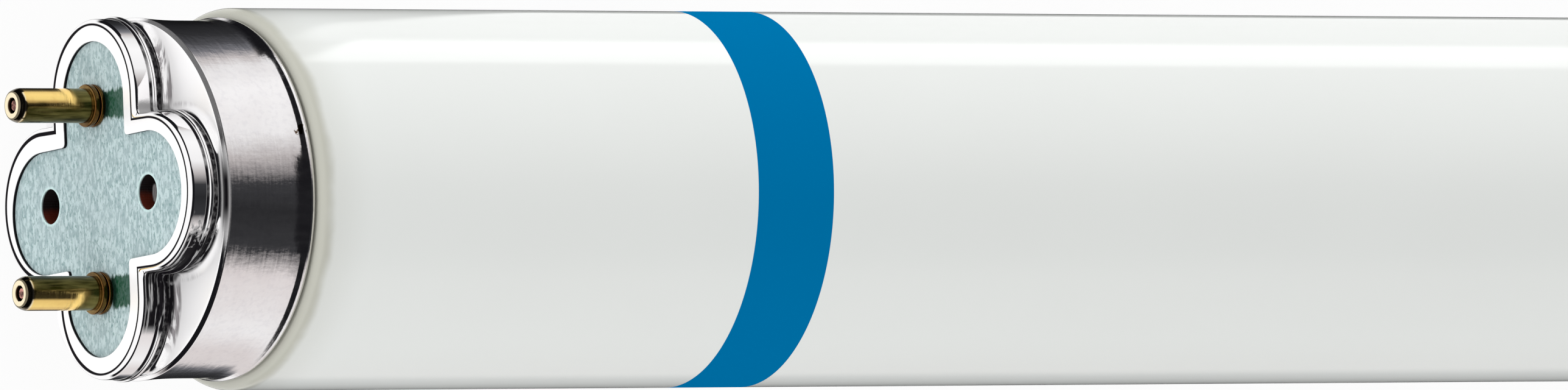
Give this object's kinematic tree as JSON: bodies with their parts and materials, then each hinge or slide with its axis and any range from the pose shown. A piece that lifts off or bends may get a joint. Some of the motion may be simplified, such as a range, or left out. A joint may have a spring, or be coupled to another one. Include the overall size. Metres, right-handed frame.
{
  "type": "fluorescent tube",
  "caption": "Straight white fluorescent lamp with a drawn aluminium cap, insulating plate and brass contact pins at each end.",
  "frame": {"origin": "middle of the lamp, on its axis", "axes": "+X along the lamp's axis, the pictured cap at the -X end; the pins of each cap stand in a row along Y, and the open holes of its plate in a row along Z"},
  "size_m": [0.6026, 0.026, 0.026],
  "materials": {
    "coated_glass": "clear gloss glass over a white powder coat, opaque",
    "polished_aluminium": "bright drawn sheet",
    "insulating_board": "pale grey-green pressed board, matt",
    "basing_cement": "baked resin cement, matt",
    "pin_brass": "bright drawn brass",
    "copper_wire": "bare copper-clad wire"
  },
  "bodies": {
    "root": {"glass_tube": "coated_glass", "cap_shell_near": "polished_aluminium", "insulating_plate_near": "insulating_board", "cement_ring_near": "basing_cement", "pin_near_upper": "pin_brass", "lead_wire_near_upper": "copper_wire", "pin_near_lower": "pin_brass", "lead_wire_near_lower": "copper_wire", "cap_shell_far": "polished_aluminium", "insulating_plate_far": "insulating_board", "cement_ring_far": "basing_cement", "pin_far_upper": "pin_brass", "lead_wire_far_upper": "copper_wire", "pin_far_lower": "pin_brass", "lead_wire_far_lower": "copper_wire"}
  },
  "joints": []
}
